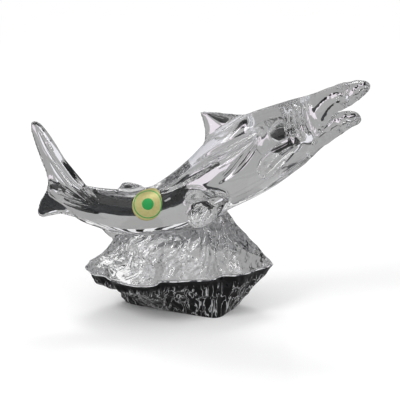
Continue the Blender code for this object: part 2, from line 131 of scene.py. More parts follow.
ANAL_FIN = [
    ((-38.0, 0, 24.0), (-58.0, 0, 27.0), 6.0),
    ((-42.5, 0, 18.6), (-54.0, 0, 20.6), 4.6),
    ((-45.6, 0, 16.2), (-50.4, 0, 17.4), 3.2),
    ((-47.0, 0, 15.1), (-48.4, 0, 15.5), 1.6),
]
PECTORAL_FIN = [
    ((58.0, -6.0, 79.0), (50.0, -6.0, 81.0), 6.6),
    ((55.5, -13.5, 75.5), (46.0, -13.0, 77.6), 6.0),
    ((50.5, -17.5, 71.0), (38.5, -17.0, 75.0), 5.2),
    ((45.0, -21.0, 66.0), (33.0, -20.5, 71.0), 4.4),
    ((40.5, -23.5, 62.2), (31.0, -23.0, 66.6), 3.6),
    ((36.5, -24.8, 60.0), (32.0, -24.4, 62.4), 2.0),
]
PELVIC_FIN = [
    ((15.0, -6.0, 50.0), (-5.0, -6.0, 41.5), 7.0),
    ((14.5, -12.5, 44.6), (-7.0, -12.5, 36.2), 6.4),
    ((12.0, -16.5, 38.8), (-7.0, -16.5, 31.8), 5.4),
    ((7.0, -18.6, 33.8), (-4.0, -18.6, 30.0), 3.8),
    ((2.4, -19.2, 31.4), (-1.0, -19.2, 30.4), 2.0),
]

# Plan of the rock where it meets the foot, and of the foot's flat underside, as (x, y)
SEAM_PLAN = [
    (-64.9, 0.0), (-62.8, -8.0), (-59.2, -13.6), (-54.0, -15.4), (-50.5, -21.0), (-45.4, -25.4),
    (-39.6, -29.4), (-32.0, -31.6), (-25.0, -29.6), (-21.6, -24.2), (-14.0, -24.2), (-5.6, -22.8),
    (3.4, -22.6), (8.6, -19.6), (12.7, -14.9), (21.3, -14.4), (27.7, -10.6), (32.6, -5.6),
    (38.6, -1.0), (41.5, 4.0), (36.0, 12.0), (27.0, 16.6), (16.0, 19.6), (8.6, 25.4),
    (-5.0, 27.2), (-14.0, 25.2), (-23.0, 28.4), (-35.0, 26.0), (-44.0, 19.6), (-53.0, 14.0),
    (-60.6, 7.6),
]
FOOT_PLAN = [
    (-42.5, 9.0), (-38.5, 5.0), (-33.5, 2.2), (-28.0, 0.0), (-20.7, -4.3), (-14.0, -7.2),
    (-7.6, -9.8), (1.7, -13.9), (8.0, -15.8), (12.0, -13.8), (15.8, -7.6), (20.6, 2.4),
    (14.0, 11.0), (0.0, 16.0), (-18.0, 17.5), (-31.0, 16.5), (-40.0, 13.0),
]

# The rock: its crest inside the belly, the powers by which its sides and ends lean in, and its depth as a
# share of its length
CREST_ENDS = (-45.0, 13.0)
CREST_HALF_WIDTH = 5.5
CREST_SINK = 5.0
SIDE_SLOPE = 1.05
TAIL_END_SLOPE = 1.6
NOSE_END_SLOPE = 1.15
ROCK_DEPTH_SHARE = 0.45

# The foot's lip: its bulge, the level of its middle and its height as shares, how it gives way to the rim
# above it, and how much of it there is at the tail end and at the nose end
LIP_BULGE = 0.15
LIP_LEVEL = 0.76
LIP_SPREAD = 0.15
LIP_TAPER = 4
LIP_ENDS = (1, 0.2)

# Chips: how far the main ones stand out on the rock, the foot and the snout, how far the finer ones over them
# do, and their sizes in millimetres across, through and up
ROCK_CHIP = 2.2 * MM
FOOT_CHIP = 2.0 * MM
SNOUT_CHIP = 0.7 * MM
FINE_CHIP = 0.25 * MM
CHIP_SIZE = (4.2, 6.0, 11.0)
SNOUT_SIZE = (3.8, 3.8, 3.8)
FINE_SIZE = (2.0, 3.6, 5.0)
CHIP_MEAN = 0.3
CHIP_PERIOD = 32
ROCK_SEED = 5
FOOT_SEED = 21

# How the chips lean and how strong they are at the tail end and at the nose end, where along the length each
# of the two changes, and how they wave
CHIP_LEAN = (0.8, -0.3)
LEAN_CHANGE = (0.0, 16.0)
CHIP_STRENGTH = (1.0, 0.45)
STRENGTH_CHANGE = (10.0, 30.0)
CHIP_WAVE = 1.4
CHIP_WAVE_LENGTH = 19.0

# Where the chips fade in: as a share of the body's section, below the belly, along the tail end, above the
# rim and along the snout, and the place under the belly that stays plain. On the foot they fade by its level
CHIPS_OFF_BODY = (1.08, 1.45)
CHIPS_BELOW = (33.0, 29.0)
CHIPS_FROM_TAIL = (-66.0, -62.0)
CHIPS_ABOVE_RIM = (0.6, 2.6)
SNOUT_START = (66.0, 76.0)
PLAIN_BELLY_X = (-12.0, -8.0)
PLAIN_BELLY_Z = (26.0, 29.0)
FOOT_CHIPS_IN = (0, 0.1)
FOOT_CHIPS_OUT = (1, 0.92)

# Scooped lines, as (x, z) points, half width and depth
TAIL_FLUTES = [
    ([(-54.0, 35.0), (-65.0, 45.0), (-72.4, 52.2), (-79.4, 62.4), (-85.4, 71.4), (-90.6, 83.0)], 1.7, 1.5),
    ([(-55.0, 35.0), (-66.0, 41.8), (-73.6, 48.0), (-80.0, 57.0), (-84.6, 65.4)], 1.4, 1.3),
    ([(-56.0, 34.6), (-62.0, 38.4), (-70.6, 43.0), (-78.0, 50.4), (-82.0, 56.4)], 1.3, 1.2),
    ([(-56.0, 34.4), (-64.4, 38.4), (-73.4, 41.8), (-82.4, 46.4)], 1.3, 1.2),
    ([(-56.0, 34.2), (-62.0, 35.8), (-70.6, 37.6), (-79.4, 40.6)], 1.2, 1.1),
]
FLANK_LEAF = ([(33.0, 82.0), (21.0, 65.4), (10.0, 54.6)], 3.0, 2.8)
FLANK_BANDS = [
    ([(33.4, 82.6), (16.6, 70.8), (5.4, 64.4), (-5.6, 56.8), (-14.6, 50.8), (-24.0, 46.4)], 2.5, 2.4),
    ([(32.6, 84.6), (16.0, 75.6), (6.0, 69.6), (-4.0, 62.2), (-12.0, 55.6)], 2.2, 2.0),
]
PAIRED_FIN_STROKES = [
    ([(56.0, 78.0), (45.0, 71.0), (35.0, 62.0)], 3.2, 1.3),
    ([(-4.0, 34.4), (-3.0, 38.2), (0.6, 41.4)], 1.2, 1.0),
    ([(-1.0, 33.4), (0.6, 37.0), (4.0, 40.8)], 1.1, 1.0),
    ([(3.0, 33.6), (4.2, 36.4), (7.2, 39.2)], 1.1, 1.0),
]
PELVIC_RING = [
    [(-7.0, 38.0), (-5.6, 41.6), (-1.0, 43.8), (4.4, 43.6), (8.4, 41.2)],
    [(-7.0, 38.0), (-5.6, 33.8), (-1.6, 31.0), (4.0, 31.4), (8.4, 35.0), (9.6, 38.6)],
]
PELVIC_RING_SCOOP = (0.9, 1.0)
PELVIC_RING_BLUNT = 0.2

# How a banked hollow leans, how far from its line's middle it is looked for, and the least swell, which keeps
# a line's two ends from a division by zero
BANK = 0.3
SCOOP_REACH = 40.0
LEAST_SWELL = 1e-6

# How squarely the skin has to face sideways to be carved, and how far out the paired fins' lines begin
CARVED_FACING = (0.1, 0.5)
PAIRED_FIN_OUT = (10.0, 12.0)

# Gills: the hollow that they lie in, and the slits, which are set out from the first one's top end
GILL_HOLLOW = ([(50.0, 97.6), (56.6, 87.6), (63.6, 76.0)], 6.4, 2.6)
GILL_TOP = (48.0, 93.6)
GILL_PITCH = 3.4
GILL_LENGTH = 16.0
GILL_RAKE = 0.35
GILL_BOW = 1.2
GILL_SCOOP = (1.65, 1.3)
GILL_BLUNT = 0.4
GILL_COUNT = 5
BODY_PITCH = math.radians(31)

# Eyes: a ring's middle, half length and half height, its depth, its width as a share, and where the head
# begins
EYE = (79.9, 101.6)
EYE_HALF_SIZE = (3.0, 1.9)
EYE_DEPTH = 0.7
EYE_WIDTH = 0.3
HEAD_START = 60.0

# Foil seal on the near flank. Its innermost ring and its rounded rim are shares of the radius
SEAL_RADIUS = 9.2 * MM
SEAL_THICKNESS = 0.4 * MM
SEAL_GAP = 0.3 * MM
SEAL_X = -28.9 * MM
SEAL_TILT = math.radians(31)
SEAL_HUB = 0.02
SEAL_RIM = 1.01

# Patterns in cells per metre: a polishing wave every 14 mm, painted reflection streaks every 3 mm and specks
# every 1 mm.
# The painted streaks, whose pattern also gives the foot its bumps and its top face's painted light, are
# stretched upright and fade out at a height under the seam
WAVES_PER_METRE = 70.0
PAINTED_STREAKS_AND_BUMPS_PER_METRE = 300.0
SPECKS_PER_METRE = 900.0
PAINTED_STREAK_AND_BUMP_STRETCH = (1.0, 1.0, 0.22)
PAINTED_REFLECTION_FADE = (19.0 * MM, 22.0 * MM)
TOP_FACE_DEPTH = 0.1 * MM

# Colours along a pattern, as (position, colour). White is where the foil is printed, by share of its radius
# Painted reflection on the foot's sides: pale streaks of painted reflection over near black
PAINTED_REFLECTION_STOPS = [(0.44, "#080809"), (0.5, "#1a1a1c"), (0.525, "#b8b8ba"), (0.55, "#1c1c1e"), (0.62, "#0c0c0d")]
# Painted light on the foot's top face: a pale mottle in its colour
PAINTED_TOP_LIGHT_STOPS = [(0.42, "#55555a"), (0.47, "#c8c8cc"), (0.54, "#fbfbfd")]
PRINT_STOPS = [(0.0, "#ffffff"), (0.36, "#000000"), (0.82, "#ffffff"), (0.88, "#000000")]

# The room, in metres: how bright it is as a light, how far its floor reaches, and the distances over which
# the floor fades into white for the camera
WHITE = "#ffffff"
ROOM_LIGHT = 0.72
FLOOR_REACH = 6.0
FLOOR_FADE = (0.16, 0.6)

# The grey sweep that the crystal shows: its profile as (radius, height), and the share by which its wall is
# higher towards +X and +Y
SWEEP_GREY = "#a4a4a4"
SWEEP_PROFILE = [(0.01, 0.0003), (0.7, 0.0003), (0.92, 0.04), (1.0, 0.1), (1.0, 0.46)]
SWEEP_TILT = (-0.4, 0.4)

# Flat cards on the table as (name, colour, x from, x to, y from, y to). Each one is a patch that the flanks,
# the tail or the rock show
BLACK = "#050506"
CARD_HEIGHT = 0.0008
TABLE_CARDS = [
    ("black_card_near", BLACK, -0.14, 0.01, 0.022, 0.118),
    ("black_card_middle", BLACK, 0.01, 0.045, 0.085, 0.13),
    ("black_card_inner", BLACK, 0.004, 0.028, 0.13, 0.22),
    ("black_card_behind", BLACK, -0.055, 0.004, 0.118, 0.2),
    ("pale_card_middle", "#e9e2ea", 0.028, 0.05, 0.13, 0.22),
    ("black_card_tail", BLACK, -0.12, -0.055, 0.118, 0.16),
    ("white_card_left", "#f2f2f8", -0.17, -0.07, 0.16, 0.38),
    ("black_card_far", BLACK, -0.33, -0.09, 0.44, 0.8),
    ("black_card_right", BLACK, 0.05, 0.085, 0.165, 0.22),
    ("pale_card_side", "#ece4ec", 0.085, 0.125, 0.165, 0.22),
    ("pale_card_behind", "#ece4ec", 0.05, 0.125, 0.22, 0.4),
    ("pale_card_right", "#dcdce2", 0.05, 0.125, -0.12, 0.0),
    ("pale_card_front", "#c4c8ce", -0.5, 0.5, -0.8, -0.12),
]

# A dim canopy over the sweep
CANOPY_GREY = "#77777a"
CANOPY_HEIGHT = 1.5
CANOPY_REACH = 0.9

# Upright cards as (name, colour, (x, y) of one end, (x, y) of the other, bottom, top)
UPRIGHT_CARDS = [
    ("left_flag", BLACK, (-0.4, 0.06), (-0.4, 0.5), 0.0, 0.42),
    ("right_flag", BLACK, (0.4, -0.5), (0.4, 0.5), 0.0, 0.42),
    ("white_card_behind", "#f4f4f6", (0.3, 0.94), (-0.24, 0.94), 0.3, 1.3),
    ("grey_card_left_behind", "#a4a4a4", (-0.24, 0.94), (-0.94, 0.31), 0.3, 2.2),
    ("batten_1", BLACK, (0.02, 0.98), (0.9, 0.98), 1.4, 1.49),
]

# Rows of upright black strips: at the left they run along y, and behind, in front of the white card, along x
LEFT_STRIP_X = -0.4
LEFT_STRIP_STARTS = [-0.42, -0.32, -0.22, -0.12, -0.02]
LEFT_STRIP_WIDTH = 0.05
LEFT_STRIP_SPAN = (0.0, 0.42)
REAR_STRIP_Y = 0.9
REAR_STRIP_STARTS = [-0.24, -0.165, -0.09, -0.015, 0.06, 0.135, 0.21]
REAR_STRIP_WIDTH = 0.035
REAR_STRIP_SPAN = (0.3, 1.3)

# Softboxes as (name, place, (width, height), watts)
SOFTBOXES = [
    ("upper left softbox", (-0.8, -0.5, 1.0), (0.45, 0.45), 5.0),
    ("front right softbox", (0.8, -1.0, 0.4), (0.35, 0.55), 4.0),
    ("rear softbox", (0.1, 0.8, 1.1), (0.6, 0.3), 4.0),
]

# Camera: the photograph shows the near flank from a little above, through a long lens
CAMERA_ELEVATION = math.radians(20)
CAMERA_DISTANCE = 1.6
FRAME_WIDTH = 0.2242
AIM = (0.0, 0.0, 0.065)


def through(points, count, closed=False):
    """A Catmull-Rom curve: between two points it is the cubic that also looks at their neighbours."""
    points = np.array(points, float)
    spans = len(points) if closed else len(points) - 1
    t = np.linspace(0, spans, count, endpoint=not closed)
    i = np.minimum(t.astype(int), spans - 1)
    f = (t - i)[:, None]
    if closed:
        a, b, c, d = (points[(i + k) % len(points)] for k in (-1, 0, 1, 2))
    else:
        a, b, c, d = (points[np.clip(i + k, 0, spans)] for k in (-1, 0, 1, 2))
    return b + 0.5 * f * (c - a + f * (2 * a - 5 * b + 4 * c - d + f * (3 * (b - c) + d - a)))


def smoothstep(low, high, value):
    """0 before low, 1 past high, and 3t2 - 2t3 between them. It falls where low is the larger."""
    t = np.clip((value - low) / (high - low), 0, 1)
    return t * t * (3 - 2 * t)


def fade(span, value):
    """The smooth step over a span in millimetres of a value in metres."""
    return smoothstep(span[0] * MM, span[1] * MM, value)


def full_turn(count):
    """That many even angles round one turn."""
    return np.linspace(0, 2 * math.pi, count, endpoint=False)


def closed_form(rings):
    """(points, faces) of rings of points joined one to the next, with a fan over each end."""
    rows, columns = rings.shape[:2]
    count = rows * columns
    points = np.concatenate([rings.reshape(-1, 3), rings[[0, -1]].mean(axis=1)])
    i, j = np.meshgrid(np.arange(rows - 1), np.arange(columns), indexing="ij")
    k = (j + 1) % columns
    here = i * columns
    beyond = here + columns
    quads = np.stack([here + j, here + k, beyond + k, beyond + j], -1)
    j = np.arange(columns)
    k = (j + 1) % columns
    last_row = count - columns
    first = np.stack([k, j, np.full(columns, count)], -1)
    last = np.stack([last_row + j, last_row + k, np.full(columns, count + 1)], -1)
    return points, quads.reshape(-1, 4).tolist() + first.tolist() + last.tolist()


def outward_volume(points, faces):
    """Six times the volume that the faces close in, negative if they point inwards."""
    corners = np.array([(f[0], f[k], f[k + 1]) for f in faces for k in range(1, len(f) - 1)])
    a, b, c = (points[corners[:, k]] for k in range(3))
    return np.einsum("ij,ij->", a, np.cross(b, c))


def add_piece(name, points, faces):
    """A shown object at the origin whose mesh holds the points and faces, facing outwards."""
    if outward_volume(points, faces) < 0:
        faces = [face[::-1] for face in faces]
    mesh = bpy.data.meshes.new(name)
    mesh.from_pydata(points, [], faces)
    mesh.validate()
    mesh.shade_smooth()
    piece = bpy.data.objects.new(name, mesh)
    bpy.context.scene.collection.objects.link(piece)
    return piece


def smooth_stations(stations, count):
    """Smooth lines through stations, in metres: back x and z, belly x and z, half width."""
    return through([(*back, *belly, half) for back, belly, half in stations], count) * MM


def round_rings(stations, count=220, segments=72):
    """Elliptic rings whose back and belly points run along two smooth lines."""
    back_x, back_z, belly_x, belly_z, half = smooth_stations(stations, count).T[:, :, None]
    turn = full_turn(segments)
    x = (back_x + belly_x) / 2 + (back_x - belly_x) / 2 * np.cos(turn)
    z = (back_z + belly_z) / 2 + (back_z - belly_z) / 2 * np.cos(turn) + UNDERSIDE
    return np.stack([x, half * np.sin(turn), z], axis=-1)


def blade_rings(stations, side=-1, crown=2.0, ridge=0.5, count=80, segments=48):
    """Fin sections between a front and a rear edge: superellipses whose power is crown, 2 for an ellipse.

    The ridge is the share of the chord, from the front, at which a section is thickest.
    """
    flat = [(*front, *rear, thick) for front, rear, thick in stations]
    smooth = through(flat, count) * MM
    mirror = np.array([1, -side, 1])
    front, rear, thick = smooth[:, 0:3] * mirror, smooth[:, 3:6] * mirror, smooth[:, 6:7]
    middle = (front + rear) / 2
    chord = (front - rear) / 2
    square = np.cross(chord, np.gradient(middle, axis=0))
    square *= thick / 2 / np.linalg.norm(square, axis=1, keepdims=True)
    turn = full_turn(segments)
    along, across = (np.sign(w) * np.abs(w) ** (2 / crown) for w in (np.cos(turn), np.sin(turn)))
    along = 1 - 2 * ((1 - along) / 2) ** (math.log(ridge) / math.log(0.5))
    rings = middle[:, None] + along[:, None] * chord[:, None] + across[:, None] * square[:, None]
    return rings + np.array([0, 0, UNDERSIDE])


def plan_ring(plan, count):
    """A closed plan as a smooth ring in metres."""
    return through(plan, count, closed=True) * MM


def rock_rings(count=360, levels=60):
    """Rings from the rock's rim up and in to a crest that lies inside the belly.

    A point of the rim and one of the crest share a bearing, and the way between them is a power of the level.
    """
    rim = plan_ring(SEAM_PLAN, count)
    first, last = (x * MM for x in CREST_ENDS)
    middle = (first + last) / 2
    angle = np.arctan2(rim[:, 1] / ROCK_DEPTH_SHARE, rim[:, 0] - middle)
    crest_x = middle + (last - first) / 2 * np.cos(angle)
    crest = np.stack([crest_x, CREST_HALF_WIDTH * MM * np.sin(angle)], axis=1)
    belly = np.array([station[1] for station in BODY_STATIONS]) * MM
    crest_z = np.interp(crest_x, belly[:, 0], belly[:, 1]) + CREST_SINK * MM
    end_slope = np.where(np.cos(angle) < 0, TAIL_END_SLOPE, NOSE_END_SLOPE)
    slope = SIDE_SLOPE + (end_slope - SIDE_SLOPE) * np.cos(angle) ** 2
    level = np.linspace(0, 1, levels)[:, None]
    inward = (1 - (1 - level) ** slope)[..., None]
    plan = rim + (crest - rim) * inward
    return np.concatenate([plan, (crest_z * level + UNDERSIDE)[..., None]], axis=-1)


def baked(piece, *steps):
    """Runs modifiers, each as (name, kind, settings), and keeps their result as the piece's own mesh."""
    for name, kind, settings in steps:
        modifier = piece.modifiers.new(name, kind)
        for key, value in settings.items():
            setattr(modifier, key, value)
    bpy.context.view_layer.update()
    before = piece.data
    finished = bpy.data.meshes.new_from_object(piece.evaluated_get(bpy.context.evaluated_depsgraph_get()))
    piece.modifiers.clear()
    piece.data = finished
    bpy.data.meshes.remove(before)


def fused(name, forms):
    """One skin round all the closed forms: they are remeshed as one volume and then polished."""
    points = []
    faces = []
    for rings in forms:
        more_points, more_faces = closed_form(rings)
        if outward_volume(more_points, more_faces) < 0:
            more_faces = [face[::-1] for face in more_faces]
        start = sum(len(p) for p in points)
        points.append(more_points)
        faces += [[start + v for v in face] for face in more_faces]
    rough = bpy.data.meshes.new(name)
    rough.from_pydata(np.concatenate(points), [], faces)
    piece = bpy.data.objects.new(name, rough)
    bpy.context.scene.collection.objects.link(piece)
    baked(
        piece,
        ("one skin", "REMESH", {"mode": "VOXEL", "voxel_size": VOXEL}),
        ("first polish", "SMOOTH", {"factor": POLISH_FACTOR, "iterations": POLISH_PASSES}),
    )
    return piece


def vertex_values(piece, kind):
    """A row of three for each of the piece's points: its place for "co", its normal for "normal"."""
    values = np.empty(len(piece.data.vertices) * 3)
    piece.data.vertices.foreach_get(kind, values)
    return values.reshape(-1, 3)


def move_points(piece, points):
    """Gives the piece's points new places."""
    piece.data.vertices.foreach_set("co", points.ravel())
    piece.data.update()


def body_share(points, rings=150):
    """How far each point is from the body's middle line, 1 on its smooth skin: the nearest ring's ellipse."""
    smooth = smooth_stations(BODY_STATIONS, rings)
    back, belly, half = smooth[:, 0:2], smooth[:, 2:4], smooth[:, 4]
    up = back - belly
    at = points[:, [0, 2]] - (0, UNDERSIDE)
    aside = up[:, 0] * (at[:, 1:2] - belly[:, 1]) - up[:, 1] * (at[:, 0:1] - belly[:, 0])
    nearest = np.argmin(np.abs(aside) / (up**2).sum(axis=1), axis=1)
    level = ((at - belly[nearest]) * up[nearest]).sum(axis=1) / (up[nearest] ** 2).sum(axis=1)
    return np.hypot(2 * level - 1, points[:, 1] / half[nearest])


def beside(at, line):
    """(distance to the left, share of the way along) of points in the side view from a smooth line."""
    way = through(line, 8 * len(line)) * MM
    start, step = way[:-1], np.diff(way, axis=0)
    length = np.linalg.norm(step, axis=1)
    gone = np.append(0, np.cumsum(length))
    t = np.clip(((at[:, None] - start) * step).sum(axis=-1) / length**2, 0, 1)
    off = at[:, None] - (start + t[..., None] * step)
    far = np.linalg.norm(off, axis=-1)
    nearest = np.argmin(far, axis=1)
    row = np.arange(len(at))
    share = (gone[nearest] + t[row, nearest] * length[nearest]) / gone[-1]
    left = step[nearest, 0] * off[row, nearest, 1] - step[nearest, 1] * off[row, nearest, 0]
    return far[row, nearest] * np.sign(left), share


def scoop(at, line, half_width, depth, bank=0.0, blunt=0.6):
    """How deep a leaf-shaped hollow goes. Its width and depth swell with a power of a sine along the line.

    Across it is a parabola, or with a bank a straight ramp that is deepest at that share of the half width
    on the left of the line and comes up steeply beyond it.
    """
    near = np.flatnonzero(np.linalg.norm(at - np.mean(line, axis=0) * MM, axis=1) < SCOOP_REACH * MM)
    far, share = beside(at[near], line)
    swell = np.maximum(np.sin(math.pi * share), 0) ** blunt + LEAST_SWELL
    aside = far / (half_width * MM * swell)
    if bank:
        across = np.minimum((1 + aside) / (1 + bank), (1 - aside) / (1 - bank))
    else:
        across = 1 - aside**2
    deep = np.zeros(len(at))
    deep[near] = depth * MM * swell * np.maximum(across, 0)
    return deep


def chips(points, rise, seed, size=CHIP_SIZE):
    """Tongues with crisp edges: the squared distance to the nearest of jittered points, one in each cell.

    The cells stand upright, wave from side to side and lean with height, the other way where rise is -1.
    """
    x, y, z = np.moveaxis(points / MM, -1, 0)
    wave = CHIP_WAVE * np.sin(2 * math.pi * (z + x / 2) / CHIP_WAVE_LENGTH)
    lean = rise * np.interp(x, LEAN_CHANGE, CHIP_LEAN)
    cells = np.stack([x - lean * z + wave, y, z], axis=-1) / size
    jitter = np.random.default_rng(seed).random((CHIP_PERIOD, CHIP_PERIOD, CHIP_PERIOD, 3))
    home = np.floor(cells).astype(int)
    nearest = np.full(x.shape, np.inf)
    for step in np.ndindex(3, 3, 3):
        cell = home + step - 1
        off = cell + jitter[tuple(np.moveaxis(cell % CHIP_PERIOD, -1, 0))] - cells
        nearest = np.minimum(nearest, (off**2).sum(axis=-1))
    return nearest


def chip_relief(points, depth, rise, seed):
    """Main chips of that depth with finer ones over them, in metres either side of the plain surface."""
    main_chips = chips(points, rise, seed) - CHIP_MEAN
    fine_chips = chips(points, rise, seed + 1, FINE_SIZE) - CHIP_MEAN
    strength = np.interp(points[..., 0] / MM, STRENGTH_CHANGE, CHIP_STRENGTH)
    return (depth * main_chips + FINE_CHIP * fine_chips) * strength


def flank_depth(points, at):
    """How deep the flanks are carved: flutes, leaf, bands, gills, eye rings and the paired fins' lines.

    Where two hollows meet, the deeper one counts. The gill slits and the eye rings are cut into what is
    there, and an eye ring is a bell curve across an ellipse.
    """
    depth = np.zeros(len(points))
    pitch = np.array([math.cos(BODY_PITCH), math.sin(BODY_PITCH)])
    square = np.array([-pitch[1], pitch[0]])
    for line, width, deep in TAIL_FLUTES:
        depth = np.maximum(depth, scoop(at, line, width, deep))
    for line, width, deep in [FLANK_LEAF, *FLANK_BANDS, GILL_HOLLOW]:
        depth = np.maximum(depth, scoop(at, line, width, deep, bank=BANK))
    for k in range(GILL_COUNT):
        top = np.array(GILL_TOP) + pitch * GILL_PITCH * k
        bottom = top - (square + GILL_RAKE * pitch) * GILL_LENGTH
        middle = (top + bottom) / 2 - GILL_BOW * pitch
        depth += scoop(at, [top, middle, bottom], *GILL_SCOOP, blunt=GILL_BLUNT)
    from_eye = (at - np.array(EYE) * MM) @ np.stack([pitch, square], axis=1) / MM
    ring = np.hypot(*(from_eye / EYE_HALF_SIZE).T)
    on_head = at[:, 0] > HEAD_START * MM
    depth += EYE_DEPTH * MM * np.exp(-(((ring - 1) / EYE_WIDTH) ** 2)) * on_head
    outer = fade(PAIRED_FIN_OUT, np.abs(points[:, 1]))
    for line in PELVIC_RING:
        depth = np.maximum(depth, scoop(at, line, *PELVIC_RING_SCOOP, blunt=PELVIC_RING_BLUNT) * outer)
    for line, width, deep in PAIRED_FIN_STROKES:
        depth = np.maximum(depth, scoop(at, line, width, deep) * outer)
    return depth


def rough_relief(points, at, share):
    """How far the rock's and the snout's chips stand out, fading towards the body, the rim and the edges."""
    rock = smoothstep(*CHIPS_OFF_BODY, share) * fade(CHIPS_BELOW, at[:, 1])
    rock *= fade(CHIPS_FROM_TAIL, at[:, 0])
    rock *= fade(CHIPS_ABOVE_RIM, at[:, 1])
    rock *= 1 - fade(PLAIN_BELLY_X, at[:, 0]) * fade(PLAIN_BELLY_Z, at[:, 1])
    snout_chips = (chips(points, 0, ROCK_SEED, SNOUT_SIZE) - CHIP_MEAN) * SNOUT_CHIP
    return chip_relief(points, ROCK_CHIP, 1, ROCK_SEED) * rock + snout_chips * fade(SNOUT_START, at[:, 0])


def carve_casting(piece):
    """Carves both flanks, chips the rock and the snout, polishes them and presses the underside level."""
    points = vertex_values(piece, "co")
    normals = vertex_values(piece, "normal")
    at = points[:, [0, 2]] - (0, UNDERSIDE)
    share = body_share(points)
    facing = smoothstep(*CARVED_FACING, np.abs(normals[:, 1]))
    points[:, 1] -= np.sign(points[:, 1]) * flank_depth(points, at) * facing
    points += normals * rough_relief(points, at, share)[:, None]
    move_points(piece, points)
    baked(piece, ("fire polish", "SMOOTH", {"factor": POLISH_FACTOR, "iterations": FIRE_POLISH_PASSES}))
    points = vertex_values(piece, "co")
    points[points[:, 2] < UNDERSIDE + LEVEL_WITHIN, 2] = UNDERSIDE
    low, high = np.array(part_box("crystal_shark"))
    move_points(piece, np.clip(points, low, high))


def casting():
    """The shark and the clear rock, one casting."""
    forms = [
        round_rings(BODY_STATIONS),
        round_rings(JAW_STATIONS, count=80, segments=48),
        blade_rings(TAIL_FIN, crown=1.2, ridge=0.33, count=140),
        blade_rings(DORSAL_FIN, crown=1.5),
        blade_rings(SECOND_DORSAL_FIN, crown=1.6),
        blade_rings(ANAL_FIN),
        rock_rings(),
    ]
    for side in (-1, 1):
        forms.append(blade_rings(PECTORAL_FIN, side))
        forms.append(blade_rings(PELVIC_FIN, side))
    piece = fused("clear_casting", forms)
    carve_casting(piece)
    piece.data.shade_smooth()
    return piece


def foot(count=560, levels=60):
    """The black foot: rings from its flat underside out to a thick lip under the seam, chipped all round.

    The underside and the rim are joined along rays from the underside's middle, and the lip is a bell curve
    over the level.
    """
    rim = plan_ring(SEAM_PLAN, count)
    under = plan_ring(FOOT_PLAN, count * 4)
    centre = under.mean(axis=0)
    bearing = np.arctan2(*(under - centre).T[::-1])
    reach = np.linalg.norm(under - centre, axis=1)
    order = np.argsort(bearing)
    angle = np.arctan2(*(rim - centre).T[::-1])
    radius = np.interp(angle, bearing[order], reach[order], period=2 * math.pi)
    base = centre + radius[:, None] * np.stack([np.cos(angle), np.sin(angle)], axis=1)
    lip_share = np.interp(rim[:, 0], (rim[:, 0].min(), rim[:, 0].max()), LIP_ENDS)
    level = np.linspace(0, 1, levels)[:, None]
    lip = LIP_BULGE * np.exp(-(((level - LIP_LEVEL) / LIP_SPREAD) ** 2)) * (1 - level) * LIP_TAPER
    spread = np.clip(level + lip * lip_share, 0, 1)[..., None]
    plan = base + (rim - base) * spread
    height = np.broadcast_to(FOOT_TOP * level, (levels, count))
    rings = np.concatenate([plan, height[..., None]], axis=-1)
    along = np.roll(rings, -1, axis=1) - np.roll(rings, 1, axis=1)
    square = np.cross(along, np.gradient(rings, axis=0))
    square /= np.linalg.norm(square, axis=-1, keepdims=True)
    shown = smoothstep(*FOOT_CHIPS_IN, level) * smoothstep(*FOOT_CHIPS_OUT, level)
    rings += square * (chip_relief(rings, FOOT_CHIP, -1, FOOT_SEED) * shown)[..., None]
    return add_piece("black_foot", *closed_form(rings))


def seal_sheet(along, around, lift, rings=300, steps=361):
    """Points lift outside the near flank, at distances from the seal's middle along the body and round it.

    Both distances are arc lengths, one on the body's middle line and one on the elliptic section.
    """
    smooth = smooth_stations(BODY_STATIONS, rings)
    middle = (smooth[:, 0:2] + smooth[:, 2:4]) / 2
    up = (smooth[:, 0:2] - smooth[:, 2:4]) / 2
    gone = np.append(0, np.cumsum(np.linalg.norm(np.diff(middle, axis=0), axis=1)))
    at = np.interp(SEAL_X, middle[:, 0], gone) + along
    mid_x, mid_z, up_x, up_z, width = (np.interp(at, gone, v) for v in (*middle.T, *up.T, smooth[:, 4]))
    height = np.hypot(up_x, up_z)
    angles = np.linspace(-math.pi / 2, math.pi / 2, steps)
    w, h = width.mean(), height.mean()
    arc = np.append(0, np.cumsum(np.hypot(np.diff(w * np.cos(angles)), np.diff(h * np.sin(angles)))))
    angle = np.interp(np.interp(SEAL_TILT, angles, arc) + around, arc, angles)
    out_y, out_up = np.cos(angle) / width, np.sin(angle) / height
    size = np.hypot(out_y, out_up)
    rise = np.sin(angle) + lift * out_up / size / height
    y = -width * np.cos(angle) - lift * out_y / size
    return np.stack([mid_x + up_x * rise, y, mid_z + up_z * rise + UNDERSIDE], axis=-1)


def seal(rings=14, segments=72):
    """A thin disc wrapped on the flank: polar grids on its two faces, joined by a rounded rim."""
    turn = full_turn(segments)
    reach = SEAL_RADIUS * np.linspace(SEAL_HUB, 1, rings)[:, None]
    rim = np.array([[SEAL_RIM * SEAL_RADIUS]])
    layers = [
        (reach, SEAL_GAP),
        (rim, SEAL_GAP + SEAL_THICKNESS / 2),
        (reach[::-1], SEAL_GAP + SEAL_THICKNESS),
    ]
    sheets = [seal_sheet(out * np.cos(turn), out * np.sin(turn), lift) for out, lift in layers]
    return add_piece("seal_disc", *closed_form(np.concatenate(sheets)))


def linear(code):
    """An sRGB hex colour as linear red, green, blue and full alpha."""
    parts = [int(code[k : k + 2], 16) / 255 for k in (1, 3, 5)]
    return (*[c / 12.92 if c <= 0.04045 else ((c + 0.055) / 1.055) ** 2.4 for c in parts], 1.0)


def add_node(tree, kind, links=(), **settings):
    """A node of that kind. Links are (input, socket) pairs, and a setting sets a property or an input."""
    node = tree.nodes.new(kind)
    for name, value in settings.items():
        if hasattr(node, name):
            setattr(node, name, value)
        else:
            node.inputs[name.replace("_", " ")].default_value = value
    for name, socket in links:
        tree.links.new(socket, node.inputs[name])
    return node


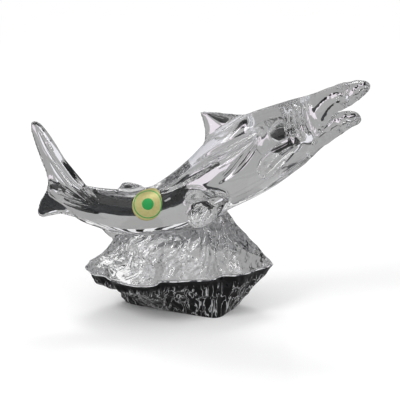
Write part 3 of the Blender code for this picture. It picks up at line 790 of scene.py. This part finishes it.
def shader(name, **settings):
    """(material, node tree, Principled BSDF) with values set on the shader's own sockets."""
    made = bpy.data.materials.new(name)
    made.use_nodes = True
    tree = made.node_tree
    principled = tree.nodes["Principled BSDF"]
    for key, value in settings.items():
        principled.inputs[key.replace("_", " ")].default_value = value
    return made, tree, principled


def set_stops(ramp, stops):
    """Gives a colour ramp its stops, as (position, colour) from the first to the last."""
    for element, (position, code) in zip(ramp.elements, (stops[0], stops[-1])):
        element.position = position
        element.color = linear(code)
    for position, code in stops[1:-1]:
        ramp.elements.new(position).color = linear(code)


def lead_crystal():
    """Polished lead crystal: colourless, high index, with the faint waviness that fire polishing leaves."""
    made, tree, principled = shader(
        "lead crystal, fire polished",
        Base_Color=linear(WHITE),
        Roughness=0.0,
        IOR=1.545,
        Transmission_Weight=1.0,
    )
    place = add_node(tree, "ShaderNodeTexCoord").outputs["Object"]
    wave = add_node(tree, "ShaderNodeTexNoise", [("Vector", place)], Scale=WAVES_PER_METRE, Detail=1.0)
    bump = add_node(
        tree, "ShaderNodeBump", [("Height", wave.outputs["Fac"])], Strength=0.05, Distance=0.5 * MM
    )
    tree.links.new(bump.outputs["Normal"], principled.inputs["Normal"])
    return made


def black_crystal():
    """Opaque black crystal, polished: deep black with painted grey reflection streaks along its chips.

    Its top face, which shows through the clear rock, is mottled pale with painted light.
    """
    made, tree, principled = shader(
        "black crystal, polished",
        Base_Color=linear("#0a0a0b"),
        Roughness=0.05,
        IOR=1.5,
        Specular_IOR_Level=0.22,
    )
    place = add_node(tree, "ShaderNodeTexCoord").outputs["Object"]
    upright = add_node(tree, "ShaderNodeMapping", [("Vector", place)], Scale=PAINTED_STREAK_AND_BUMP_STRETCH).outputs["Vector"]
    streaks_and_bumps = add_node(
        tree,
        "ShaderNodeTexNoise",
        [("Vector", upright)],
        Scale=PAINTED_STREAKS_AND_BUMPS_PER_METRE,
        Detail=2.0,
        Distortion=0.6,
    ).outputs["Fac"]
    # Painted reflection: pale streaks put into the foot's colour
    painted_reflection = add_node(tree, "ShaderNodeValToRGB", [("Fac", streaks_and_bumps)])
    set_stops(painted_reflection.color_ramp, PAINTED_REFLECTION_STOPS)
    # Painted light: the pale mottle put into the top face's colour
    painted_top_light = add_node(tree, "ShaderNodeValToRGB", [("Fac", streaks_and_bumps)])
    set_stops(painted_top_light.color_ramp, PAINTED_TOP_LIGHT_STOPS)
    height = add_node(tree, "ShaderNodeSeparateXYZ", [(0, place)]).outputs["Z"]
    faded = add_node(
        tree, "ShaderNodeMapRange", [(0, height)], From_Min=PAINTED_REFLECTION_FADE[0], From_Max=PAINTED_REFLECTION_FADE[1]
    ).outputs[0]
    # The painted reflection streaks give way to plain black at a height under the seam
    side = add_node(
        tree,
        "ShaderNodeMix",
        [(0, faded), ("A", painted_reflection.outputs["Color"])],
        data_type="RGBA",
        B=linear("#0c0c0d"),
    ).outputs["Result"]
    # Above this height the top face takes the painted light in place of the sides' colour
    on_top = add_node(tree, "ShaderNodeMath", [(0, height)], operation="GREATER_THAN")
    on_top.inputs[1].default_value = FOOT_TOP - TOP_FACE_DEPTH
    colour = add_node(
        tree,
        "ShaderNodeMix",
        [(0, on_top.outputs[0]), ("A", side), ("B", painted_top_light.outputs["Color"])],
        data_type="RGBA",
    )
    tree.links.new(colour.outputs["Result"], principled.inputs["Base Color"])
    bump = add_node(tree, "ShaderNodeBump", [("Height", streaks_and_bumps)], Strength=0.6, Distance=1.0 * MM)
    tree.links.new(bump.outputs["Normal"], principled.inputs["Normal"])
    return made


def printed_foil(centre):
    """Embossed gold foil printed with a green ring and dot: a warm sheen broken by fine specks."""
    made, tree, principled = shader("printed gold foil", Metallic=0.35, Roughness=0.42)
    place = add_node(tree, "ShaderNodeTexCoord").outputs["Object"]
    near = add_node(tree, "ShaderNodeMapping", [("Vector", place)], Location=[-c for c in centre])
    reach = add_node(tree, "ShaderNodeVectorMath", [(0, near.outputs["Vector"])], operation="LENGTH")
    share = add_node(tree, "ShaderNodeMath", [(0, reach.outputs["Value"])], operation="DIVIDE")
    share.inputs[1].default_value = SEAL_RADIUS
    printed = add_node(tree, "ShaderNodeValToRGB", [("Fac", share.outputs["Value"])])
    printed.color_ramp.interpolation = "CONSTANT"
    set_stops(printed.color_ramp, PRINT_STOPS)
    specks = add_node(tree, "ShaderNodeTexNoise", [("Vector", place)], Scale=SPECKS_PER_METRE, Detail=3.0)
    gold = add_node(
        tree,
        "ShaderNodeMix",
        [("Factor", specks.outputs["Fac"])],
        data_type="RGBA",
        A=linear("#9c9358"),
        B=linear("#c2bd84"),
    )
    ink = add_node(
        tree,
        "ShaderNodeMix",
        [("Factor", printed.outputs["Color"]), ("A", gold.outputs["Result"])],
        data_type="RGBA",
        B=linear("#1c8f45"),
    )
    tree.links.new(ink.outputs["Result"], principled.inputs["Base Color"])
    emboss = add_node(
        tree, "ShaderNodeBump", [("Height", specks.outputs["Fac"])], Strength=0.3, Distance=0.2 * MM
    )
    tree.links.new(emboss.outputs["Normal"], principled.inputs["Normal"])
    return made


def finish_piece(piece, material, slot, *nodes):
    """Gives a piece its material and puts it on the root body in place of the CAD nodes. The slot is not
    used.
    """
    piece.data.materials.clear()
    piece.data.materials.append(material)
    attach(piece, "root")
    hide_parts(*nodes)


def add_stage(name, material, points, faces):
    """A stage object, which is no part of the figurine."""
    mesh = bpy.data.meshes.new(name)
    mesh.from_pydata(points, [], faces)
    mesh.materials.append(material)
    sheet = bpy.data.objects.new(name, mesh)
    bpy.context.scene.collection.objects.link(sheet)
    return sheet


def hide_from_camera(sheet):
    """Leaves a stage object to the rays that the pieces reflect and refract: it lights and shades nothing."""
    sheet.visible_camera = False
    sheet.visible_diffuse = False
    sheet.visible_shadow = False


def set_floor():
    """A plain matt white floor, wide enough to reach past the picture's edges.

    For the camera it fades into the white of the room with distance, so that no horizon shows.
    """
    made, tree, principled = shader("matt white floor", Base_Color=linear("#fbfbfb"), Roughness=0.9)
    place = add_node(tree, "ShaderNodeTexCoord").outputs["Object"]
    reach = add_node(tree, "ShaderNodeVectorMath", [(0, place)], operation="LENGTH").outputs["Value"]
    away = add_node(
        tree,
        "ShaderNodeMapRange",
        [(0, reach)],
        interpolation_type="SMOOTHSTEP",
        From_Min=FLOOR_FADE[0],
        From_Max=FLOOR_FADE[1],
    )
    seen = add_node(tree, "ShaderNodeLightPath").outputs["Is Camera Ray"]
    share = add_node(tree, "ShaderNodeMath", [(0, away.outputs[0]), (1, seen)], operation="MULTIPLY")
    white = add_node(tree, "ShaderNodeEmission", Color=linear(WHITE), Strength=1.0)
    faded = add_node(
        tree,
        "ShaderNodeMixShader",
        [(0, share.outputs[0]), (1, principled.outputs[0]), (2, white.outputs[0])],
    )
    tree.links.new(faded.outputs[0], tree.nodes["Material Output"].inputs["Surface"])
    far = FLOOR_REACH
    corners = [(-far, -far, 0), (far, -far, 0), (far, far, 0), (-far, far, 0)]
    add_stage("pale_floor", made, corners, [(0, 1, 2, 3)])


def set_sweep(count=96):
    """What the crystal shows: a grey sweep that runs from the table up into a wall all round.

    The sweep is a profile of radius and height turned about the upright axis. Only rays from the crystal,
    the foot and the foil meet it, so it throws no shadow and hides nothing from the camera.
    """
    made = bpy.data.materials.new("grey sweep")
    made.use_nodes = True
    tree = made.node_tree
    tree.nodes.clear()
    glow = add_node(tree, "ShaderNodeEmission", Color=linear(SWEEP_GREY), Strength=1.0)
    add_node(tree, "ShaderNodeOutputMaterial", [("Surface", glow.outputs[0])])
    turn = full_turn(count)
    profile = np.array(SWEEP_PROFILE)
    radius, height = profile[:, 0:1], profile[:, 1:2]
    rings = np.stack([radius * np.cos(turn), radius * np.sin(turn), height + 0 * turn], axis=-1)
    rings[:, :, 2] *= 1 + SWEEP_TILT[0] * np.cos(turn) + SWEEP_TILT[1] * np.sin(turn)
    points, faces = closed_form(rings)
    # The fan over the upper end is left off, so the sweep is open above
    fan_middle = len(rings) * count + 1
    sweep = add_stage("grey_sweep", made, points, [face for face in faces if fan_middle not in face])
    hide_from_camera(sweep)


def add_card(name, code, corners):
    """A glowing flat card of one colour that only the crystal, the foot and the foil show."""
    made, tree, principled = shader(
        name.replace("_", " "),
        Base_Color=linear("#000000"),
        Specular_IOR_Level=0.0,
        Emission_Color=linear(code),
        Emission_Strength=1.0,
    )
    hide_from_camera(add_stage(name, made, corners, [(0, 1, 2, 3)]))


def set_cards():
    """Cards on the table, a dim canopy over the sweep, and cards, flags and strips that stand round it."""
    z = CARD_HEIGHT
    for name, code, x0, x1, y0, y1 in TABLE_CARDS:
        add_card(name, code, [(x0, y0, z), (x1, y0, z), (x1, y1, z), (x0, y1, z)])
    far, top = CANOPY_REACH, CANOPY_HEIGHT
    add_card("canopy", CANOPY_GREY, [(-far, -far, top), (far, -far, top), (far, far, top), (-far, far, top)])
    uprights = list(UPRIGHT_CARDS)
    for k, y in enumerate(LEFT_STRIP_STARTS):
        ends = (LEFT_STRIP_X, y), (LEFT_STRIP_X, y + LEFT_STRIP_WIDTH)
        uprights.append((f"left_strip_{k + 1}", BLACK, *ends, *LEFT_STRIP_SPAN))
    for k, x in enumerate(REAR_STRIP_STARTS):
        ends = (x, REAR_STRIP_Y), (x + REAR_STRIP_WIDTH, REAR_STRIP_Y)
        uprights.append((f"rear_strip_{k + 1}", BLACK, *ends, *REAR_STRIP_SPAN))
    for name, code, start, end, bottom, top in uprights:
        add_card(name, code, [(*start, bottom), (*end, bottom), (*end, top), (*start, top)])


def set_world():
    """A white room for the camera, for reflections and through the crystal; a little dimmer as a light."""
    world = bpy.data.worlds.new("white room")
    bpy.context.scene.world = world
    world.use_nodes = True
    tree = world.node_tree
    tree.nodes.clear()
    ray = add_node(tree, "ShaderNodeLightPath").outputs
    shown = ray["Is Camera Ray"]
    for kind in ("Is Glossy Ray", "Is Transmission Ray"):
        shown = add_node(tree, "ShaderNodeMath", [(0, shown), (1, ray[kind])], operation="MAXIMUM").outputs[0]
    light = add_node(tree, "ShaderNodeBackground", Color=linear(WHITE), Strength=ROOM_LIGHT)
    white = add_node(tree, "ShaderNodeBackground", Color=linear(WHITE), Strength=1.0)
    both = add_node(tree, "ShaderNodeMixShader", [(0, shown), (1, light.outputs[0]), (2, white.outputs[0])])
    add_node(tree, "ShaderNodeOutputWorld", [("Surface", both.outputs[0])])


def add_softbox(name, where, size, power):
    """An area light that faces the figurine. It shows as a reflection, and not through the crystal."""
    lamp = bpy.data.lights.new(name, "AREA")
    lamp.shape = "RECTANGLE"
    lamp.size, lamp.size_y = size
    lamp.energy = power
    box = bpy.data.objects.new(name, lamp)
    bpy.context.scene.collection.objects.link(box)
    box.location = where
    box.visible_transmission = False
    box.rotation_euler = (Vector(AIM) - Vector(where)).to_track_quat("-Z", "Y").to_euler()


def set_camera():
    """A long lens at the photograph's height, framing the picture's width at the figurine."""
    lens = bpy.data.cameras.new("camera")
    lens.sensor_width = 36.0
    lens.lens = lens.sensor_width * CAMERA_DISTANCE / FRAME_WIDTH
    lens.clip_end = 20.0
    camera = bpy.data.objects.new("camera", lens)
    bpy.context.scene.collection.objects.link(camera)
    rise = math.sin(CAMERA_ELEVATION)
    back = math.cos(CAMERA_ELEVATION)
    camera.location = (AIM[0], AIM[1] - CAMERA_DISTANCE * back, AIM[2] + CAMERA_DISTANCE * rise)
    camera.rotation_euler = (math.pi / 2 - CAMERA_ELEVATION, 0, 0)
    bpy.context.scene.camera = camera


def set_light_paths():
    """Enough bounces for light that turns inside the crystal many times."""
    cycles = bpy.context.scene.cycles
    cycles.max_bounces = 24
    cycles.transmission_bounces = 24
    cycles.glossy_bounces = 16


def main():
    """Makes the pieces and their surroundings."""
    finish_piece(casting(), lead_crystal(), "clear_crystal", "crystal_shark")
    finish_piece(foot(), black_crystal(), "black_crystal", "rock_foot")
    middle = seal_sheet(np.zeros(1), np.zeros(1), SEAL_GAP + SEAL_THICKNESS)[0]
    finish_piece(seal(), printed_foil(middle), "gold_foil", "foil_seal")
    set_floor()
    set_sweep()
    set_cards()
    set_world()
    for softbox in SOFTBOXES:
        add_softbox(*softbox)
    set_camera()
    set_light_paths()
    bpy.context.scene.view_settings.view_transform = "Standard"


main()
